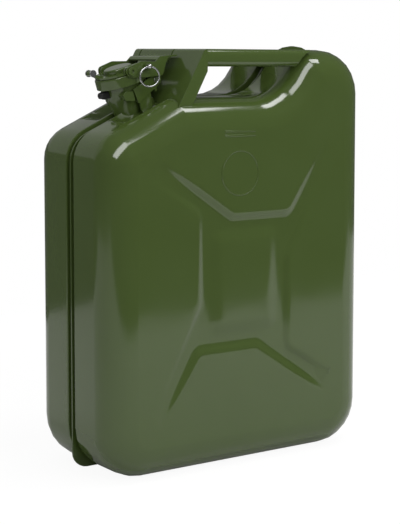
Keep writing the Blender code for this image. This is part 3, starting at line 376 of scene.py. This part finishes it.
# %% Cut the old face out, sizes in mm
FACE = 82.5
SHEET = 1.0
FACE_LEVELS = ((FACE, 1), (FACE - SHEET, -1))
LEVEL_SLACK = 0.12
NEAR_SIDE = -1
NEARLY_FACING = 0.99
RING_X, RING_Z = -7, 328
RING_REACH = 23.6
PRESS_HALF_WIDTH = 129
PRESS_BOTTOM, PRESS_TOP = 48, 348
SPIKE_FROM = -40
SPIKE_TOP = 82.6


def is_flat(face, level, outwards):
    """Whether a face is part of the flat of one surface, outside the ring."""
    middle = face.calc_center_median() / MM
    in_ring = (middle.x - RING_X) ** 2 + (middle.z - RING_Z) ** 2 < RING_REACH ** 2
    level_off = max(abs(abs(v.co.y) / MM - level) for v in face.verts)
    facing = face.normal.y * NEAR_SIDE * outwards > NEARLY_FACING
    return facing and level_off < LEVEL_SLACK and not in_ring


def is_pressed(face, level, outwards):
    """Whether a face that joins the flat lies in the press, or in the spike behind it."""
    middle = face.calc_center_median() / MM
    top = max(abs(v.co.y) / MM for v in face.verts)
    spike = outwards < 0 and middle.x < SPIKE_FROM and top > SPIKE_TOP
    in_press = abs(middle.x) < PRESS_HALF_WIDTH and PRESS_BOTTOM < middle.z < PRESS_TOP
    return in_press and (top < level + LEVEL_SLACK or spike)


def cut_face(bm, level, outwards):
    """Cuts out the flat of the broad face, and the pressed faces that join it."""
    cut = {f for f in bm.faces if is_flat(f, level, outwards)}
    todo = list(cut)
    while todo:
        face = todo.pop()
        for other in {f for e in face.edges for f in e.link_faces} - cut:
            if is_pressed(other, level, outwards):
                cut.add(other)
                todo.append(other)
    bmesh.ops.delete(bm, geom=list(cut), context="FACES")
    pinched = [v for v in bm.verts if sum(e.is_boundary for e in v.link_edges) > 2]
    bmesh.ops.delete(bm, geom=list({f for v in pinched for f in v.link_faces}), context="FACES")


# %% Lay the grid, sizes in mm
GRID = 2.5
GRID_MARGIN = 1.6
GRID_ACROSS = np.arange(-141, 142, GRID)
GRID_UP = np.arange(34, 378, GRID)


def lay_face(bm, level, outwards):
    """Cuts one surface of the broad face out and lays the pressed grid in its place."""
    cut_face(bm, level, outwards)
    rim = [e for e in bm.edges if e.is_boundary]
    ends = np.array([[(v.co.x / MM, v.co.z / MM) for v in edge.verts] for edge in rim])
    spots = np.array([(x, z) for x in GRID_ACROSS for z in GRID_UP])
    free = depth_inside(spots, ends[:, 0], ends[:, 1]) > GRID_MARGIN
    depths = press_depth(spots)
    grid = {}
    for i in np.flatnonzero(free):
        (x, z), y = spots[i], level - depths[i]
        row = divmod(int(i), len(GRID_UP))
        grid[row] = bm.verts.new((x * MM, NEAR_SIDE * y * MM, z * MM))
    cells = []
    for i, j in grid:
        corners = [grid.get(key) for key in ((i, j), (i + 1, j), (i + 1, j + 1), (i, j + 1))]
        if all(corners):
            cells.append(bm.faces.new(corners))
    loose = [v for v in grid.values() if not v.link_faces]
    bmesh.ops.delete(bm, geom=loose, context="VERTS")
    rim = [e for e in bm.edges if e.is_boundary]
    bmesh.ops.triangle_fill(bm, use_beauty=True, edges=rim, normal=(0, 1, 0))
    return len(cells)


print("grid of", len(GRID_ACROSS), "by", len(GRID_UP))

# %% [markdown]
# The near shell is pressed, and the far one is the same mesh in a mirror, as the two halves of a
# real can match along their rim.

# %% Dress the shells
pressed_half = bmesh.new()


def press_cross(mesh):
    """Lays both surfaces of the broad face of the near shell."""
    bm = pressed_half
    bm.from_mesh(mesh)
    cells = [lay_face(bm, level, outwards) for level, outwards in FACE_LEVELS]
    bmesh.ops.recalc_face_normals(bm, faces=bm.faces)
    print("cells:", cells, "open edges:", sum(not e.is_manifold for e in bm.edges))
    bm.to_mesh(mesh)


def mirror_press(mesh):
    """Gives the far shell the pressed near one in a mirror."""
    for v in pressed_half.verts:
        v.co.y = -v.co.y
    bmesh.ops.reverse_faces(pressed_half, faces=pressed_half.faces)
    pressed_half.to_mesh(mesh)


for side, reshape in (("near", press_cross), ("far", mirror_press)):
    shell = dressed(f"{side}_shell", f"pressed_{side}_half", enamel, "can", edge_mm=3.0,
                    segments=4, angle=24, reshape=reshape)
    print(shell.name, len(shell.data.polygons), "faces")
pressed_half.free()

# %% [markdown]
# ## Neck, lid, handles and brackets
# These are turned, pressed or folded from sheet about 2 mm thick and painted with the can, so they
# share its colour and have the small radius of a sheared and dipped edge. The handle bracket is
# folded, so its radius is larger.

# %% Dress the painted fittings: body, edge radius in mm
PAINTED = {
    "pouring_neck": ("can", 0.4),
    "breather_tube": ("can", 0.0),
    "handle_near": ("can", 0.4),
    "handle_middle": ("can", 0.4),
    "handle_far": ("can", 0.4),
    "handle_bracket": ("can", 1.0),
    "neck_lug_near": ("can", 0.3),
    "neck_lug_far": ("can", 0.3),
    "hinge_bracket": ("can", 0.5),
    "lid_cap": ("lid", 0.3),
    "lid_dome": ("lid", 0.3),
    "clamp_yoke": ("lid", 0.4),
    "lever_rivet_near": ("lid", 0.3),
    "lever_rivet_far": ("lid", 0.3),
    "locking_lever": ("lever", 0.4),
}
for node_name, (body, edge) in PAINTED.items():
    piece = dressed(node_name, node_name + "_painted", fitting_enamel, body, edge)
    print(piece.name, len(piece.data.polygons), "faces")

# %% [markdown]
# ## Plated pins, the rubber seal and the catch in painted shade
# The bright pieces are fitted after painting, so they stand out as small glints on the green.

# %% Dress the plated pieces, the rubber seal and the catch in painted shade
PIN_EDGE_MM = 0.2
PLATED = {
    "hinge_pin": "can",
    "eye_rivet": "lid",
    "safety_pin": "pin",
    "pull_ring": "ring",
}
for node_name, body in PLATED.items():
    dressed(node_name, node_name + "_plated", zinc, body, PIN_EDGE_MM)
dressed("gasket", "gasket_moulded", rubber_and_painted_shade, "lid", edge_mm=0.3)
# The front catch gets the near-black rubber as painted shade, for the deep shade under the front of
# the lid.
dressed("front_catch", "front_catch_in_painted_shade", rubber_and_painted_shade, "can", edge_mm=0.4)
print(len(PLATED), "plated pieces and 2 rubber ones")

# %% [markdown]
# ## Studio
# Product photographs of glossy things use very large, soft lamps: the gloss then shows wide,
# even highlights. The camera sees a white background, and a floor that glows white apart from a
# share of shadow. The broad face mirrors the floor, so the floor's depth sets the height at which
# the lighter half of the face begins.

# %% Floor
FLOOR_DEEP = 1.8
FLOOR_WIDE = 4.2
FLOOR_GAP_MM = 0.5
SHADOW_SHARE = 0.12
FLOOR_GLOW = 1.06

bpy.ops.mesh.primitive_plane_add(size=FLOOR_DEEP, location=(0, 0, -FLOOR_GAP_MM * MM))
floor = bpy.context.object
for corner in floor.data.vertices:
    corner.co.x *= FLOOR_WIDE / FLOOR_DEEP
floor.name = "studio_floor"
floor_paint, floor_shader = new_material("matt_white_floor", Roughness=0.9)
floor_shader.inputs["Base Color"].default_value = linear("d6d6d5")
floor_path = add_node(floor_paint, "ShaderNodeLightPath")
floor_seen = add_node(floor_paint, "ShaderNodeMath",
                      {"operation": "MULTIPLY", 1: 1 - SHADOW_SHARE},
                      {0: floor_path.outputs["Is Camera Ray"]})
floor_glow = add_node(floor_paint, "ShaderNodeEmission",
                      {"Color": (1, 1, 1, 1), "Strength": FLOOR_GLOW})
floor_mix = add_node(floor_paint, "ShaderNodeMixShader", links={
    0: floor_seen.outputs[0], 1: floor_shader.outputs[0], 2: floor_glow.outputs[0]})
floor_output = floor_paint.node_tree.nodes["Material Output"]
floor_paint.node_tree.links.new(floor_mix.outputs[0], floor_output.inputs["Surface"])
floor.data.materials.append(floor_paint)
print("floor", FLOOR_WIDE, "m wide")

# %% [markdown]
# The air round the set has three brightnesses. The camera sees white, the gloss sees a dim room,
# which keeps the enamel deep in colour, and the paint below the gloss gets a soft light from all
# sides.

# %% Background
world = bpy.data.worlds.new("studio_air")
bpy.context.scene.world = world
world.use_nodes = True
ROOM_FOR_CAMERA = 1.0
ROOM_FOR_GLOSS = 0.11
ROOM_FOR_PAINT = 0.62
room_path = add_node(world, "ShaderNodeLightPath")
room_gloss = add_node(world, "ShaderNodeMapRange",
                      {"To Min": ROOM_FOR_PAINT, "To Max": ROOM_FOR_GLOSS},
                      {"Value": room_path.outputs["Is Glossy Ray"]})
room = add_node(world, "ShaderNodeMapRange", {"To Max": ROOM_FOR_CAMERA},
                {"Value": room_path.outputs["Is Camera Ray"],
                 "To Min": room_gloss.outputs["Result"]})
air = world.node_tree.nodes["Background"]
air.inputs["Color"].default_value = (1, 1, 1, 1)
world.node_tree.links.new(room.outputs["Result"], air.inputs["Strength"])
print("air for the gloss", ROOM_FOR_GLOSS, "and for the paint", ROOM_FOR_PAINT)

# %% [markdown]
# Gloss mirrors the lamps and paint scatters their light, so a lamp can be set to serve only one
# of them. A long lamp overhead and one that slants down past the left shoulder draw the bright
# lines along the rounded edges. A dim panel behind the can lightens what leans back. Two lamps
# light only the paint, so no edge mirrors them.

# %% Lamps, in metres and watts
def softbox(name, place, target, size, power, seen_in, along=(1, 0, 0)):
    """A rectangular lamp that faces its target, with its width along a given direction. The
    paint, the gloss or both see it."""
    lamp = bpy.data.lights.new(name, "AREA")
    lamp.shape = "RECTANGLE"
    lamp.size, lamp.size_y = size
    lamp.energy = power
    obj = bpy.data.objects.new(name, lamp)
    bpy.context.scene.collection.objects.link(obj)
    obj.location = place
    look = (Vector(target) - Vector(place)).normalized()
    side = (Vector(along) - look * look.dot(Vector(along))).normalized()
    obj.rotation_euler = Matrix((side, side.cross(look), -look)).transposed().to_euler()
    obj.visible_glossy = seen_in != "paint"
    obj.visible_diffuse = seen_in != "gloss"
    return obj


softbox("top_softbox", place=(0.67, -0.55, 2.2), target=(0.67, -0.55, 0), size=(1.16, 0.55),
        power=17, seen_in="both")
softbox("window_softbox", place=(-0.81, -1.06, 1.685), target=(0, -0.08, 0.4), size=(2.0, 0.6),
        power=24, seen_in="gloss", along=(-0.8, -0.12, -0.58))
softbox("back_panel", place=(-0.4, 2.2, 1.7), target=(0, 0, 0.4), size=(4.4, 2.0),
        power=6, seen_in="gloss")
softbox("left_fill", place=(-2.2, 0.2, 1.0), target=(0, 0, 0.25), size=(1.6, 1.6),
        power=5, seen_in="paint")
softbox("front_fill", place=(0.4, -2.0, 1.5), target=(0, 0, 0.3), size=(1.6, 1.2),
        power=23, seen_in="paint")
print("5 lamps")
